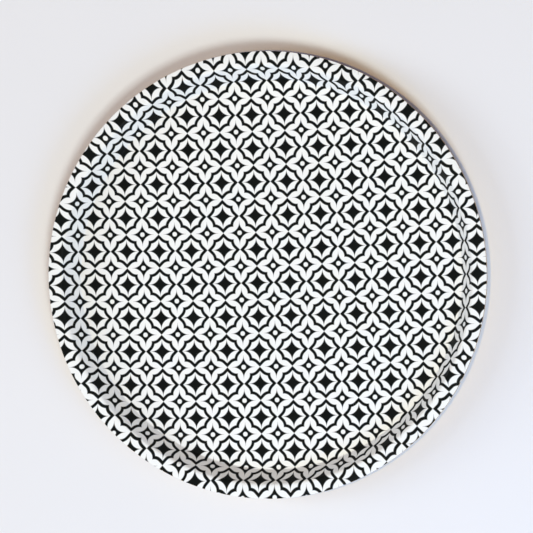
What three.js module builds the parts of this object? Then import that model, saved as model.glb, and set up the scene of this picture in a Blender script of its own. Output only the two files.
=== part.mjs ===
// Round serving tray of moulded birch plywood, with a flat floor, a sloping wall and a wide flat lip.
// Seven cross-laid veneers are pressed in a heated mould, together with a printed sheet on top and a
// clear backing sheet underneath, and the edge is then trimmed round. Millimetres, +Z up, with the
// origin at the centre of the underside.

import * as THREE from 'three';

// Driving dimensions
const trayRadius = 190; // axis to the trimmed edge
const rimRise = 19; // serving surface up to the top of the lip
const lipWidth = 9.9; // flat part of the lip, outside its bend
const wallSlope = THREE.MathUtils.degToRad(58); // wall's angle to the floor
const floorBendRadius = 1.5; // bend from floor to wall, on the printed face
const lipBendRadius = 0.6; // bend from wall to lip, on the underside
const printedSheetThickness = 0.2;
const veneerThickness = 0.35;
const backingSheetThickness = 0.2;
const glueLine = 0.05; // clearance between neighbouring layers, filled by resin
const segmentsAround = 48; // facets round the tray
const segmentsPerBend = 2; // facets across each bend

// The layers in the order they are stacked, from the serving surface down
const alongGrain = 0xd9b98a;
const acrossGrain = 0xb98f5e;
const layers = [
  { name: 'printed_sheet', thickness: printedSheetThickness, color: 0xe9ebe6, roughness: 0.38 },
  { name: 'face_veneer', thickness: veneerThickness, color: alongGrain, roughness: 0.6 },
  { name: 'upper_cross_veneer', thickness: veneerThickness, color: acrossGrain, roughness: 0.6 },
  { name: 'upper_long_veneer', thickness: veneerThickness, color: alongGrain, roughness: 0.6 },
  { name: 'core_cross_veneer', thickness: veneerThickness, color: acrossGrain, roughness: 0.6 },
  { name: 'lower_long_veneer', thickness: veneerThickness, color: alongGrain, roughness: 0.6 },
  { name: 'lower_cross_veneer', thickness: veneerThickness, color: acrossGrain, roughness: 0.6 },
  { name: 'back_veneer', thickness: veneerThickness, color: alongGrain, roughness: 0.6 },
  { name: 'backing_sheet', thickness: backingSheetThickness, color: 0xd3b284, roughness: 0.5 },
];

// The printed face, worked inwards from the trimmed edge
const layerThickness = layers.reduce((sum, layer) => sum + layer.thickness, 0);
const laminateThickness = layerThickness + glueLine * (layers.length - 1);
const lipBendRadiusOnTop = lipBendRadius + laminateThickness;
const floorTop = laminateThickness;
const lipTop = floorTop + rimRise;
const riseInBends = (floorBendRadius + lipBendRadiusOnTop) * (1 - Math.cos(wallSlope));
const straightWall = (rimRise - riseInBends) / Math.sin(wallSlope);
const lipBendEnd = trayRadius - lipWidth;
const lipBendStart = lipBendEnd - lipBendRadiusOnTop * Math.sin(wallSlope);
const wallFoot = lipBendStart - straightWall * Math.cos(wallSlope);
const floorEdge = wallFoot - floorBendRadius * Math.sin(wallSlope);

// Points of an arc about (centreR, centreZ), from one angle to another
function arc(centreR, centreZ, radius, from, to) {
  const points = [];
  for (let step = 0; step <= segmentsPerBend; step += 1) {
    const angle = from + ((to - from) * step) / segmentsPerBend;
    const r = centreR + radius * Math.cos(angle);
    const z = centreZ + radius * Math.sin(angle);
    points.push(new THREE.Vector2(r, z));
  }
  return points;
}

// Half section of the face that lies the given depth under the printed face, from axis to edge.
// The bends share their centres, so every layer keeps its thickness round them.
function faceAtDepth(depth) {
  const quarterTurn = Math.PI / 2;
  const floorBendCentreZ = floorTop + floorBendRadius;
  const lipBendCentreZ = lipTop - lipBendRadiusOnTop;
  const floorBend = arc(
    floorEdge,
    floorBendCentreZ,
    floorBendRadius + depth,
    -quarterTurn,
    wallSlope - quarterTurn,
  );
  const lipBend = arc(
    lipBendEnd,
    lipBendCentreZ,
    lipBendRadiusOnTop - depth,
    wallSlope + quarterTurn,
    quarterTurn,
  );
  return [
    new THREE.Vector2(0, floorTop - depth),
    ...floorBend,
    ...lipBend,
    new THREE.Vector2(trayRadius, lipTop - depth),
  ];
}

// One layer of the laminate, as a closed turned solid between two depths
function makeLayer(layer, depth) {
  const underFace = faceAtDepth(depth + layer.thickness);
  const upperFace = faceAtDepth(depth).reverse();
  const geometry = new THREE.LatheGeometry([...underFace, ...upperFace], segmentsAround);
  geometry.rotateX(Math.PI / 2);
  const material = new THREE.MeshStandardMaterial({
    color: layer.color,
    roughness: layer.roughness,
    metalness: 0,
  });
  const mesh = new THREE.Mesh(geometry, material);
  mesh.name = layer.name;
  return mesh;
}

const tray = new THREE.Group();
let depth = 0;
for (const layer of layers) {
  tray.add(makeLayer(layer, depth));
  depth += layer.thickness + glueLine;
}

export default tray;
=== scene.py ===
# Round serving tray of moulded birch plywood, with a black and white lattice print on its face.
# Lengths are in metres. The tray stands on z = 0, with its axis on +Z.

import math

import bpy
from mathutils import Matrix, Vector


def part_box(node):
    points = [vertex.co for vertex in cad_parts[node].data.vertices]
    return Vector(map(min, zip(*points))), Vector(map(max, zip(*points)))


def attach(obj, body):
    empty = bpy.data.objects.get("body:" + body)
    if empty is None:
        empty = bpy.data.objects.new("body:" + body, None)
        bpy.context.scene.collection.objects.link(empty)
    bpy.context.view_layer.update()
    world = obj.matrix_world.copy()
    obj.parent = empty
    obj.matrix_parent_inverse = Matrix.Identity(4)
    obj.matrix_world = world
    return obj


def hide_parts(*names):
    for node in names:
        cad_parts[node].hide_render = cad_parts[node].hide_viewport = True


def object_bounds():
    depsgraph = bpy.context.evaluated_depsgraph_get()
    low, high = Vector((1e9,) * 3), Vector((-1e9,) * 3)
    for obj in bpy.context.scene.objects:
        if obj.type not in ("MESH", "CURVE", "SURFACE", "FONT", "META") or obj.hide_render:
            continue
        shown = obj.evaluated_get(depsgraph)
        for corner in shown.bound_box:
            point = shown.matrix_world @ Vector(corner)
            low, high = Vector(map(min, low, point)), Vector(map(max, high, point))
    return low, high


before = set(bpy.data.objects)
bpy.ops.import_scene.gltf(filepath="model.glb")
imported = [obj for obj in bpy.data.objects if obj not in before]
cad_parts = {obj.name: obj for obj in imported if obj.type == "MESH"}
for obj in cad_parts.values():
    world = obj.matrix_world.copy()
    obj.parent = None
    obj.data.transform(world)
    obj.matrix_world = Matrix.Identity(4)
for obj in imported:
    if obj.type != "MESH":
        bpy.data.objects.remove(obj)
cad_low, cad_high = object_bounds()
tray_radius = (cad_high.x - cad_low.x) / 2
lip_top = cad_high.z


# Camera
# A long lens, held high over the tray and a little to its right, looks down at it.
camera_distance = 3.5
camera_tilt = math.radians(12.0)
camera_side = math.radians(5)
picture_width = 0.4520
looked_at = Vector((0.0012, 0.0073, lip_top))

camera_data = bpy.data.cameras.new("camera")
camera_data.sensor_width = 36
camera_data.lens = camera_data.sensor_width * camera_distance / picture_width
camera = bpy.data.objects.new("camera", camera_data)
bpy.context.scene.collection.objects.link(camera)
bpy.context.scene.camera = camera

backwards = Vector(
    (
        math.sin(camera_tilt) * math.cos(camera_side),
        math.sin(camera_tilt) * math.sin(camera_side),
        math.cos(camera_tilt),
    )
)
rightwards = Vector((0, 1, 0)).cross(backwards).normalized()
upwards = backwards.cross(rightwards)
turned = Matrix((rightwards, upwards, backwards)).transposed()
camera.matrix_world = Matrix.LocRotScale(looked_at + backwards * camera_distance, turned, None)
camera_data.clip_start = 0.1
camera_data.clip_end = 50


# Printed sheet
# A melamine sheet 0.2 mm thick, printed in black on white under a satin overlay. It is laid on the
# veneers and pressed with them in a heated mould, so the print bends and stretches over the whole rim,
# and it is trimmed with them at the edge of the lip.
rim_rise = 0.019
lip_width = 0.0099
wall_slope = math.radians(58)
floor_bend_radius = 0.0015
lip_bend_radius = 0.00385
edge_easing = 0.0004
print_drawn_over_wall = 0.806
print_drawn_over_lip = 0.85
print_past_edge = 0.0001
floor_rings = (0, 0.03, 0.06, 0.09, 0.12, 0.145)
steps_per_bend = 9
steps_over_edge = 4
steps_around = 240
sharp_corner = math.radians(40)

floor_top = lip_top - rim_rise
rise_in_bends = (floor_bend_radius + lip_bend_radius) * (1 - math.cos(wall_slope))
straight_wall = (rim_rise - rise_in_bends) / math.sin(wall_slope)
lip_bend_end = tray_radius - lip_width
lip_bend_start = lip_bend_end - lip_bend_radius * math.sin(wall_slope)
wall_foot = lip_bend_start - straight_wall * math.cos(wall_slope)
floor_edge = wall_foot - floor_bend_radius * math.sin(wall_slope)
board_thickness = floor_top - cad_low.z


def edge_at_depth(depth):
    """Radius of the trimmed edge, whose two corners are eased with sandpaper."""
    corner = edge_easing - min(depth, board_thickness - depth)
    if corner <= 0:
        return tray_radius
    return tray_radius - edge_easing + math.sqrt(max(edge_easing**2 - corner**2, 0))


def face_at_depth(depth):
    """Half section of the face that lies this far under the print, from the axis to the edge, as
    (radius, height, distance along the flat sheet before it was pressed)."""
    points = []
    for radius in floor_rings:
        points.append((radius, floor_top - depth, radius))
    for step in range(steps_per_bend + 1):
        angle = wall_slope * step / steps_per_bend
        bend = floor_bend_radius + depth
        radius = floor_edge + bend * math.sin(angle)
        height = floor_top + floor_bend_radius - bend * math.cos(angle)
        up_wall = floor_bend_radius * angle
        points.append((radius, height, floor_edge + up_wall * print_drawn_over_wall))
    for step in range(steps_per_bend + 1):
        angle = wall_slope * (1 - step / steps_per_bend)
        bend = lip_bend_radius - depth
        radius = lip_bend_end - bend * math.sin(angle)
        height = lip_top - lip_bend_radius + bend * math.cos(angle)
        up_wall = floor_bend_radius * wall_slope + straight_wall + lip_bend_radius * (wall_slope - angle)
        points.append((radius, height, floor_edge + up_wall * print_drawn_over_wall))
    lip_start = points[-1][2]
    edge = edge_at_depth(depth)
    for part in (0.5, 1):
        radius = lip_bend_end + (edge - lip_bend_end) * part
        flat = lip_start + (radius - lip_bend_end) * print_drawn_over_lip
        points.append((radius, lip_top - depth, flat))
    return points


def pressed_layer(name, node, shown):
    """One layer of the laminate, as deep and as thick as its CAD solid. Its flat_print map is the sheet
    before pressing, in metres. Its OFBake map gives most of the square to the shown surface."""
    low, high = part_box(node)
    upper_depth = lip_top - high.z
    lower_depth = floor_top - low.z
    lower_face = face_at_depth(lower_depth)
    upper_face = face_at_depth(upper_depth)
    cut_edge = []
    for step in range(1, steps_over_edge):
        depth = lower_depth + (upper_depth - lower_depth) * step / steps_over_edge
        flat = upper_face[-1][2] + print_past_edge * (steps_over_edge - step)
        cut_edge.append((edge_at_depth(depth), lip_top - depth, flat))
    section = lower_face + cut_edge + upper_face[::-1]

    flat_radius = upper_face[-1][2]
    # The bake map's square holds the shown disc, the cut edge as a ring round it, and the hidden
    # disc small in a corner. Sizes are shares of the square.
    disc = 0.25 if shown == "edge" else 0.485
    rim = 0.497
    middle = (0.5, 0.5)
    corner = (0.084, 0.084)
    corner_disc = 0.08
    strips = []
    for first in range(len(section) - 1):
        ends = (first, first + 1)
        on_edge = len(lower_face) - 1 <= first < len(lower_face) + len(cut_edge)
        below = first < len(lower_face) - 1
        if on_edge:
            parts = [(end - len(lower_face) + 1) / (len(cut_edge) + 1) for end in ends]
            if shown != "lower":
                parts = [1 - part for part in parts]
            strips.append((middle, [disc + (rim - disc) * part for part in parts], shown == "lower"))
        elif below == (shown == "lower"):
            strips.append((middle, [disc * section[end][2] / flat_radius for end in ends], below))
        else:
            strips.append((corner, [corner_disc * section[end][2] / flat_radius for end in ends], below))

    turns = [2 * math.pi * step / steps_around for step in range(steps_around)]
    verts = []
    rings = []
    for radius, height, _ in section:
        if radius == 0:
            rings.append([len(verts)] * steps_around)
            verts.append((0, 0, height))
        else:
            rings.append(list(range(len(verts), len(verts) + steps_around)))
            verts += [(radius * math.cos(turn), radius * math.sin(turn), height) for turn in turns]

    faces = []
    flat_print = []
    bake = []
    for first, (centre, spans, mirrored) in enumerate(strips):
        for step in range(steps_around):
            after = (step + 1) % steps_around
            corners = [(first, step), (first, after), (first + 1, after), (first + 1, step)]
            loop = []
            for ring, turn in corners:
                vert = rings[ring][turn]
                if vert in loop:
                    continue
                loop.append(vert)
                x, y = math.cos(turns[turn]), math.sin(turns[turn])
                flat = section[ring][2]
                flat_print.append((flat * x, flat * y))
                span = spans[ring - first]
                bake.append((centre[0] + span * x, centre[1] + span * (-y if mirrored else y)))
            faces.append(loop)

    mesh = bpy.data.meshes.new(name)
    mesh.from_pydata(verts, [], faces)
    for map_name, places in (("OFBake", bake), ("flat_print", flat_print)):
        layer = mesh.uv_layers.new(name=map_name)
        for loop, place in zip(layer.data, places):
            loop.uv = place
    mesh.shade_smooth()
    mesh.set_sharp_from_angle(angle=sharp_corner)
    piece = bpy.data.objects.new(name, mesh)
    bpy.context.scene.collection.objects.link(piece)
    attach(piece, "root")
    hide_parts(node)
    return piece


def new_material(name):
    """A material with only its Principled shader and its output, and its node tree."""
    material = bpy.data.materials.new(name)
    material.use_nodes = True
    return material, material.node_tree, material.node_tree.nodes["Principled BSDF"]


def feed(tree, value, socket):
    """Links a node's result into a socket, or sets the socket to a constant."""
    if isinstance(value, bpy.types.NodeSocket):
        tree.links.new(value, socket)
    else:
        socket.default_value = value


def sum_node(tree, operation, *values):
    """A maths node on numbers."""
    node = tree.nodes.new("ShaderNodeMath")
    node.operation = operation
    for value, socket in zip(values, node.inputs):
        feed(tree, value, socket)
    return node.outputs["Value"]


def place_node(tree, operation, *values):
    """A maths node on places. A distance or length comes out as a number."""
    node = tree.nodes.new("ShaderNodeVectorMath")
    node.operation = operation
    for value, socket in zip(values, node.inputs):
        feed(tree, value, socket)
    return node.outputs["Value" if operation in ("DISTANCE", "LENGTH") else "Vector"]


def noise_node(tree, place, scale, detail, roughness=0.5):
    """Cloudy noise, as a number from 0 to 1."""
    node = tree.nodes.new("ShaderNodeTexNoise")
    feed(tree, place, node.inputs["Vector"])
    node.inputs["Scale"].default_value = scale
    node.inputs["Detail"].default_value = detail
    node.inputs["Roughness"].default_value = roughness
    return node.outputs["Fac"]


def range_node(tree, value, start, end, low, high, smooth=False):
    """Maps start..end of a value to low..high, held at both ends."""
    node = tree.nodes.new("ShaderNodeMapRange")
    if smooth:
        node.interpolation_type = "SMOOTHSTEP"
    for socket, entry in zip(node.inputs, (value, start, end, low, high)):
        feed(tree, entry, socket)
    return node.outputs["Result"]


def colour_node(tree, share, first, second):
    """Mixes two colours by a share from 0 to 1."""
    node = tree.nodes.new("ShaderNodeMix")
    node.data_type = "RGBA"
    feed(tree, share, node.inputs["Factor"])
    colours = [socket for socket in node.inputs if socket.type == "RGBA"]
    feed(tree, first, colours[0])
    feed(tree, second, colours[1])
    return [socket for socket in node.outputs if socket.type == "RGBA"][0]


def bump_node(tree, shader, height, strength, distance):
    """Turns a height into a slight relief on the shader."""
    node = tree.nodes.new("ShaderNodeBump")
    node.inputs["Strength"].default_value = strength
    node.inputs["Distance"].default_value = distance
    feed(tree, height, node.inputs["Height"])
    tree.links.new(node.outputs["Normal"], shader.inputs["Normal"])


# The lattice repeats every print_pitch along y and a little closer along x. Its rows bow by print_bow
# times x squared, about 3 mm at the edge, and it creeps sideways by print_creep times the radius
# squared, about 1 mm. Sizes within the pattern are shares of one repeat.
print_pitch = 0.02867
print_squeeze = 0.9897
print_turn = math.radians(1.83)
print_bow = 0.08
print_creep = 0.025
flower_centre = Vector((0.0030, 0.0078, 0))
star_curve = 0.3416
petal_curve = 0.23
petal_half_width = 0.186
petal_reach = 0.5
outline_width = 0.09
dot_radius = 0.0685
ink_edge = 0.012
sheet_white = (0.80, 0.805, 0.775, 1)
sheet_clouded = (0.79, 0.80, 0.765, 1)
ink_black = (0.0055, 0.0065, 0.0055, 1)
ink_clouded = (0.007, 0.008, 0.0068, 1)
smoothest = 0.34
roughest = 0.42
print_shine = 0.055

printed_sheet = pressed_layer("printed_sheet_face", "printed_sheet", "upper")
satin_print, tree, shader = new_material("satin_print")

# Place on the flat sheet, bowed and crept, then cut into tiles and folded into an eighth of one
flat = tree.nodes.new("ShaderNodeUVMap")
flat.uv_map = "flat_print"
repeat = tree.nodes.new("ShaderNodeMapping")
repeat.vector_type = "TEXTURE"
repeat.inputs["Location"].default_value = flower_centre
repeat.inputs["Rotation"].default_value = (0, 0, print_turn)
repeat.inputs["Scale"].default_value = (print_pitch * print_squeeze, print_pitch, 1)
flat_sides = tree.nodes.new("ShaderNodeSeparateXYZ")
tree.links.new(flat.outputs["UV"], flat_sides.inputs["Vector"])
bowed = tree.nodes.new("ShaderNodeCombineXYZ")
bow = sum_node(tree, "MULTIPLY", sum_node(tree, "POWER", flat_sides.outputs["X"], 2.0), print_bow)
tree.links.new(sum_node(tree, "SUBTRACT", flat_sides.outputs["Y"], bow), bowed.inputs["Y"])
from_middle = sum_node(tree, "POWER", place_node(tree, "LENGTH", flat.outputs["UV"]), 2.0)
creep = sum_node(tree, "MULTIPLY", from_middle, print_creep)
tree.links.new(sum_node(tree, "ADD", flat_sides.outputs["X"], creep), bowed.inputs["X"])
tree.links.new(bowed.outputs["Vector"], repeat.inputs["Vector"])
one_tile = place_node(tree, "WRAP", repeat.outputs["Vector"], (0.5, 0.5, 0.5), (-0.5, -0.5, -0.5))
quarter_tile = place_node(tree, "ABSOLUTE", one_tile)
sides = tree.nodes.new("ShaderNodeSeparateXYZ")
tree.links.new(quarter_tile, sides.inputs["Vector"])
far = sum_node(tree, "MAXIMUM", sides.outputs["X"], sides.outputs["Y"])
near = sum_node(tree, "MINIMUM", sides.outputs["X"], sides.outputs["Y"])
folded = tree.nodes.new("ShaderNodeCombineXYZ")
tree.links.new(far, folded.inputs["X"])
tree.links.new(near, folded.inputs["Y"])
folded = folded.outputs["Vector"]

# Petal with round sides that run out into straight tips, printed as an outline
curve_drop = petal_curve - petal_half_width
curve_along = petal_reach + curve_drop - math.sqrt(2) * petal_curve
curve_centre = (curve_along, -curve_drop, 0)
round_side = sum_node(tree, "SUBTRACT", place_node(tree, "DISTANCE", folded, curve_centre), petal_curve)
along_tip = sum_node(tree, "SUBTRACT", sum_node(tree, "ADD", far, near), petal_reach)
straight_side = sum_node(tree, "DIVIDE", along_tip, math.sqrt(2))
along_petal = sum_node(tree, "SUBTRACT", far, near)
past_curve = sum_node(tree, "GREATER_THAN", along_petal, curve_along + curve_drop)
petal = tree.nodes.new("ShaderNodeMix")
feed(tree, past_curve, petal.inputs["Factor"])
feed(tree, round_side, petal.inputs["A"])
feed(tree, straight_side, petal.inputs["B"])
petal = petal.outputs["Result"]
half_outline = outline_width / 2
outline_middle = sum_node(tree, "ABSOLUTE", sum_node(tree, "SUBTRACT", petal, half_outline))
outline = sum_node(tree, "SUBTRACT", outline_middle, half_outline)


def star_node(corner, reach):
    """Four-pointed star whose sides are quarter circles, below 0 inside it."""
    from_corner = place_node(tree, "DISTANCE", folded, (corner, corner, 0))
    hollow = sum_node(tree, "SUBTRACT", star_curve, from_corner)
    return sum_node(tree, "MAXIMUM", hollow, sum_node(tree, "SUBTRACT", reach, star_curve))


flower_star = star_node(star_curve, far)
ring_round_dot = sum_node(tree, "SUBTRACT", dot_radius, place_node(tree, "LENGTH", folded))
flower_star = sum_node(tree, "MAXIMUM", flower_star, ring_round_dot)
cell_star = star_node(0.5 - star_curve, sum_node(tree, "SUBTRACT", 0.5, near))
ink_side = sum_node(tree, "MINIMUM", outline, sum_node(tree, "MINIMUM", flower_star, cell_star))
ink = range_node(tree, ink_side, ink_edge, -ink_edge, 0, 1, smooth=True)

whole = tree.nodes.new("ShaderNodeTexCoord").outputs["Object"]
clouds = range_node(tree, noise_node(tree, whole, scale=14, detail=3), 0.3, 0.7, 0, 1)
paper = colour_node(tree, clouds, sheet_white, sheet_clouded)
black = colour_node(tree, clouds, ink_black, ink_clouded)
tree.links.new(colour_node(tree, ink, paper, black), shader.inputs["Base Color"])
rubbed = noise_node(tree, whole, scale=60, detail=4, roughness=0.6)
feed(tree, range_node(tree, rubbed, 0.3, 0.75, smoothest, roughest), shader.inputs["Roughness"])
shader.inputs["Specular IOR Level"].default_value = print_shine
grainy = noise_node(tree, whole, scale=900, detail=2)
bump_node(tree, shader, grainy, strength=0.08, distance=0.0002)
printed_sheet.data.materials.append(satin_print)


# Veneers
# Seven thin sheets of rotary-cut birch, each laid across the grain of the next and bonded by
# resin under the press. Only their trimmed edges show round the lip, as thin light and dark lines,
# which swap places every quarter turn as long grain turns to end grain.
veneers = {
    "face_veneer": "x",
    "upper_cross_veneer": "y",
    "upper_long_veneer": "x",
    "core_cross_veneer": "y",
    "lower_long_veneer": "x",
    "lower_cross_veneer": "y",
    "back_veneer": "x",
}
long_grain_light = (0.66, 0.47, 0.27, 1)
long_grain_dark = (0.50, 0.33, 0.17, 1)
end_grain_light = (0.36, 0.21, 0.10, 1)
end_grain_dark = (0.20, 0.11, 0.05, 1)
streak_squeeze = 0.03


def grain_place(tree, axis):
    """Place on the tray, squeezed along the grain, so that noise becomes streaks."""
    stretch = tree.nodes.new("ShaderNodeMapping")
    squeeze = (streak_squeeze, 1, 1) if axis == "x" else (1, streak_squeeze, 1)
    stretch.inputs["Scale"].default_value = squeeze
    place = tree.nodes.new("ShaderNodeTexCoord").outputs["Object"]
    tree.links.new(place, stretch.inputs["Vector"])
    return stretch.outputs["Vector"]


def birch(name, axis):
    """Lacquered birch with its grain along one axis, darker and pored where it is cut across."""
    material, tree, shader = new_material(name)
    streaks = noise_node(tree, grain_place(tree, axis), scale=700, detail=5, roughness=0.65)
    streaked = range_node(tree, streaks, 0.3, 0.7, 0, 1)
    long_grain = colour_node(tree, streaked, long_grain_light, long_grain_dark)
    place = tree.nodes.new("ShaderNodeTexCoord").outputs["Object"]
    pores = noise_node(tree, place, scale=3500, detail=3, roughness=0.6)
    pored = range_node(tree, pores, 0.35, 0.6, 0, 1)
    end_grain = colour_node(tree, pored, end_grain_light, end_grain_dark)
    facing = tree.nodes.new("ShaderNodeSeparateXYZ")
    tree.links.new(tree.nodes.new("ShaderNodeNewGeometry").outputs["Normal"], facing.inputs["Vector"])
    crosscut = sum_node(tree, "ABSOLUTE", facing.outputs["X" if axis == "x" else "Y"])
    crosscut = range_node(tree, crosscut, 0.55, 0.85, 0, 1, smooth=True)
    tree.links.new(colour_node(tree, crosscut, long_grain, end_grain), shader.inputs["Base Color"])
    feed(tree, range_node(tree, streaks, 0.3, 0.7, 0.45, 0.6), shader.inputs["Roughness"])
    bump_node(tree, shader, pores, strength=0.15, distance=0.0002)
    return material


birch_along = birch("birch_along", "x")
birch_across = birch("birch_across", "y")
for node, axis in veneers.items():
    veneer = pressed_layer(node + "_sheet", node, "edge")
    veneer.data.materials.append(birch_along if axis == "x" else birch_across)


# Backing sheet
# A clear melamine overlay bonded under the last veneer in the same pressing, so that both faces of the
# board shrink alike. It is satin, and the birch's wide rotary-cut figure shows through it.
figure_light = (0.62, 0.43, 0.25, 1)
figure_dark = (0.45, 0.28, 0.14, 1)
fleck = (0.25, 0.13, 0.06, 1)
figure_bands = 9

backing_sheet = pressed_layer("backing_sheet_face", "backing_sheet", "lower")
clear_overlay, tree, shader = new_material("clear_overlay_on_birch")
squeezed = grain_place(tree, "x")
waves = noise_node(tree, squeezed, scale=26, detail=3)
bands = sum_node(tree, "FRACT", sum_node(tree, "MULTIPLY", waves, figure_bands))
bands = sum_node(tree, "ABSOLUTE", sum_node(tree, "SUBTRACT", bands, 0.5))
fibres = noise_node(tree, squeezed, scale=900, detail=4, roughness=0.7)
wide_figure = sum_node(tree, "MULTIPLY", bands, 0.7)
figure = sum_node(tree, "ADD", wide_figure, sum_node(tree, "MULTIPLY", fibres, 0.9))
wood = colour_node(tree, range_node(tree, figure, 0.35, 0.95, 0, 1), figure_light, figure_dark)
flecked = noise_node(tree, squeezed, scale=2200, detail=2)
flecks = range_node(tree, flecked, 0.68, 0.76, 0, 0.6)
tree.links.new(colour_node(tree, flecks, wood, fleck), shader.inputs["Base Color"])
feed(tree, range_node(tree, fibres, 0.3, 0.7, 0.36, 0.46), shader.inputs["Roughness"])
bump_node(tree, shader, fibres, strength=0.08, distance=0.0002)
backing_sheet.data.materials.append(clear_overlay)


# Table
# A plain pale table top under the tray, matt and almost even.
table_half = 6.0
table_below = 0.0001
table_white = (0.73, 0.73, 0.735, 1)
table_marked = (0.72, 0.72, 0.725, 1)
table_mesh = bpy.data.meshes.new("table_top")
table_corners = [(-1, -1), (1, -1), (1, 1), (-1, 1)]
table_verts = [(table_half * x, table_half * y, cad_low.z - table_below) for x, y in table_corners]
table_mesh.from_pydata(table_verts, [], [(0, 1, 2, 3)])
table = bpy.data.objects.new("table_top", table_mesh)
bpy.context.scene.collection.objects.link(table)
matt_table, tree, shader = new_material("table_white")
place = tree.nodes.new("ShaderNodeTexCoord").outputs["Object"]
soft_marks = range_node(tree, noise_node(tree, place, scale=5, detail=2), 0.3, 0.7, 0, 1)
table_colour = colour_node(tree, soft_marks, table_white, table_marked)
tree.links.new(table_colour, shader.inputs["Base Color"])
shader.inputs["Roughness"].default_value = 0.8
shader.inputs["Specular IOR Level"].default_value = 0.2
table_mesh.materials.append(matt_table)


# Lights
# A cool high window in front and to the right gives the main light, with blue sky beside it. Two lower
# windows on the left and one on the right fill the sloping wall, and a small warm lamp hangs almost
# overhead. Those four leave no glare. The room itself adds a dim blue light.
room_colour = (0.53, 0.53, 1.0, 1)
room_strength = 0.21


def lamp(name, azimuth, elevation, distance, size, power, colour, glossy=True):
    """A square light of the given side, turned towards the tray. One that isn't glossy lights the
    pieces without showing in their sheen."""
    data = bpy.data.lights.new(name, "AREA")
    data.shape = "SQUARE"
    data.size = size
    data.energy = power
    data.color = colour
    light = bpy.data.objects.new(name, data)
    bpy.context.scene.collection.objects.link(light)
    azimuth = math.radians(azimuth)
    elevation = math.radians(elevation)
    towards = Vector(
        (
            math.cos(elevation) * math.cos(azimuth),
            math.cos(elevation) * math.sin(azimuth),
            math.sin(elevation),
        )
    )
    light.location = towards * distance
    light.rotation_mode = "QUATERNION"
    light.rotation_quaternion = towards.to_track_quat("Z", "Y")
    light.visible_glossy = glossy


lamp("window", 306, 63, 4.2, 1.2, 109, (0.86, 0.94, 0.90))
lamp("window_sky", 312, 38, 1.3, 0.5, 4.5, (0.10, 0.38, 1.0))
lamp("side_window", 186, 38, 3.5, 1.6, 36, (0.66, 0.77, 0.92), glossy=False)
lamp("low_window", 178, 20, 3.5, 1.0, 34, (0.80, 0.88, 0.92), glossy=False)
lamp("far_window", 335, 28, 3.5, 1.8, 20, (0.86, 0.95, 0.93), glossy=False)
lamp("ceiling_lamp", 0, 86, 3.0, 0.08, 28, (1.0, 0.66, 0.20), glossy=False)
world = bpy.data.worlds.new("room")
bpy.context.scene.world = world
world.use_nodes = True
world.node_tree.nodes["Background"].inputs["Color"].default_value = room_colour
world.node_tree.nodes["Background"].inputs["Strength"].default_value = room_strength
bpy.context.scene.view_settings.view_transform = "Standard"


# Update
# The view layer is brought up to date.
bpy.context.view_layer.update()
